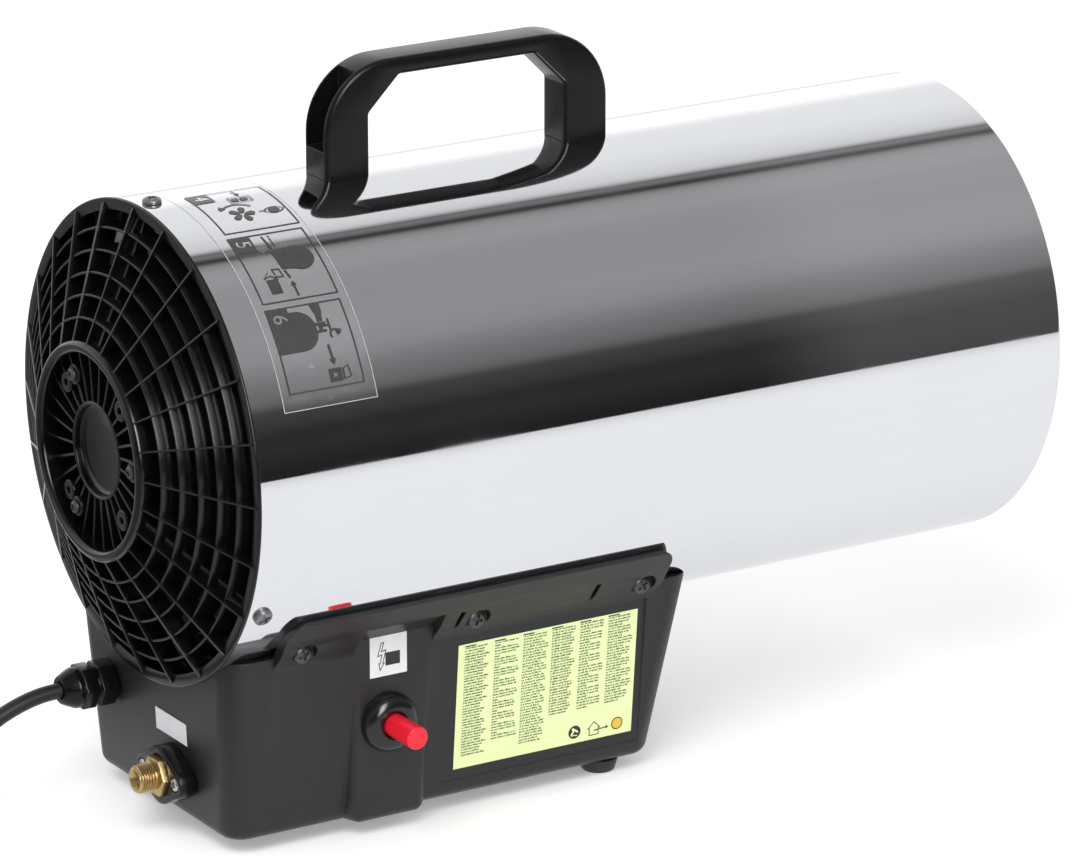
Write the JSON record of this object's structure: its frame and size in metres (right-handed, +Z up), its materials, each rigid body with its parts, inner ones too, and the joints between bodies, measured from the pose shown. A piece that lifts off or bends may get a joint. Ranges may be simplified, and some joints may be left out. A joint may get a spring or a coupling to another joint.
{
  "type": "forced air heater",
  "caption": "Portable gas forced air heater: polished steel barrel, fan behind a coned intake grille, burner in a flame tube, moulded base with push button valve, top handle and mains lead",
  "frame": {"origin": "on the floor under the feet, below the middle of the body's box", "axes": "+X along the barrel towards the hot air outlet, +Y away from the control side, +Z up"},
  "size_m": [0.6274, 0.2644, 0.342],
  "materials": {
    "barrel_steel": "bright polished stainless sheet",
    "grille_plastic": "glossy black",
    "screw_steel": "dark zinc",
    "motor_paint": "satin black",
    "brass": "machined",
    "bright_steel": "zinc plated",
    "fan_metal": "pressed",
    "burner_steel": "heat-toned sheet",
    "copper": "drawn copper tube",
    "red_plastic": "glossy red",
    "collar_plastic": "glossy black",
    "ceramic": "glazed ceramic",
    "lead_red": "silicone",
    "cream_plastic": "moulded",
    "cable_rubber": "satin black jacket",
    "foot_rubber": "matt black",
    "base_plastic": "fine grained charcoal",
    "handle_plastic": "satin black",
    "gland_plastic": "satin black",
    "plug_plastic": "satin black",
    "clear_film": "clear printed film",
    "green_label": "printed film",
    "white_label": "printed film",
    "grey_label": "printed paper"
  },
  "bodies": {
    "housing": {"barrel": "barrel_steel", "intake_grille": "grille_plastic", "grille_screws": "screw_steel", "motor_housing": "motor_paint", "motor_bearings": "brass", "motor_screws": "screw_steel", "flame_tube": "burner_steel", "tube_spacers": "burner_steel", "burner_bracket": "burner_steel", "burner_cup": "burner_steel", "cup_posts": "burner_steel", "jet_holder": "brass", "jet_nut": "brass", "gas_jet": "brass", "gas_pipe": "copper", "inlet_pipe": "copper", "pipe_nuts": "brass", "gas_valve_body": "brass", "valve_spring": "bright_steel", "button_collar": "collar_plastic", "collar_nut": "bright_steel", "piezo_igniter": "collar_plastic", "piezo_bracket": "bright_steel", "thermocouple": "copper", "spark_electrode": "bright_steel", "electrode_insulator": "ceramic", "ignition_lead": "lead_red", "overheat_cutout": "cream_plastic", "terminal_block": "cream_plastic", "wiring": "cable_rubber", "grommets": "foot_rubber", "base_shell": "base_plastic", "base_screws": "screw_steel", "rubber_feet": "foot_rubber", "foot_screws": "screw_steel", "handle": "handle_plastic", "handle_screws": "screw_steel", "inlet_flange": "handle_plastic", "inlet_nipple": "brass", "inlet_screws": "screw_steel", "cable_gland_body": "gland_plastic", "cable_gland_nut": "gland_plastic", "gland_locknut": "gland_plastic", "mains_lead": "cable_rubber", "mains_lead_coil": "cable_rubber", "mains_lead_tail": "cable_rubber", "plug_body": "plug_plastic", "plug_pins": "bright_steel", "step_sticker": "clear_film", "panel_label": "green_label", "button_label": "white_label", "inlet_label": "grey_label"},
    "fan": {"motor_shaft": "bright_steel", "fan_impeller": "fan_metal", "fan_nut": "brass"},
    "button": {"push_button": "red_plastic", "valve_stem": "bright_steel", "piezo_plunger": "bright_steel"}
  },
  "joints": [
    {"name": "fan_spin", "type": "hinge", "parent": "housing", "child": "fan", "pos_m": [-0.13285, 0, 0.18], "axis": [1, 0, 0], "continuous": true},
    {"name": "button_press", "type": "slide", "parent": "housing", "child": "button", "axis": [0, 1, 0], "range_m": [0, 0.008], "stiffness_N_per_m": 900, "springref_m": -0.004, "deforming": ["valve_spring"]}
  ]
}
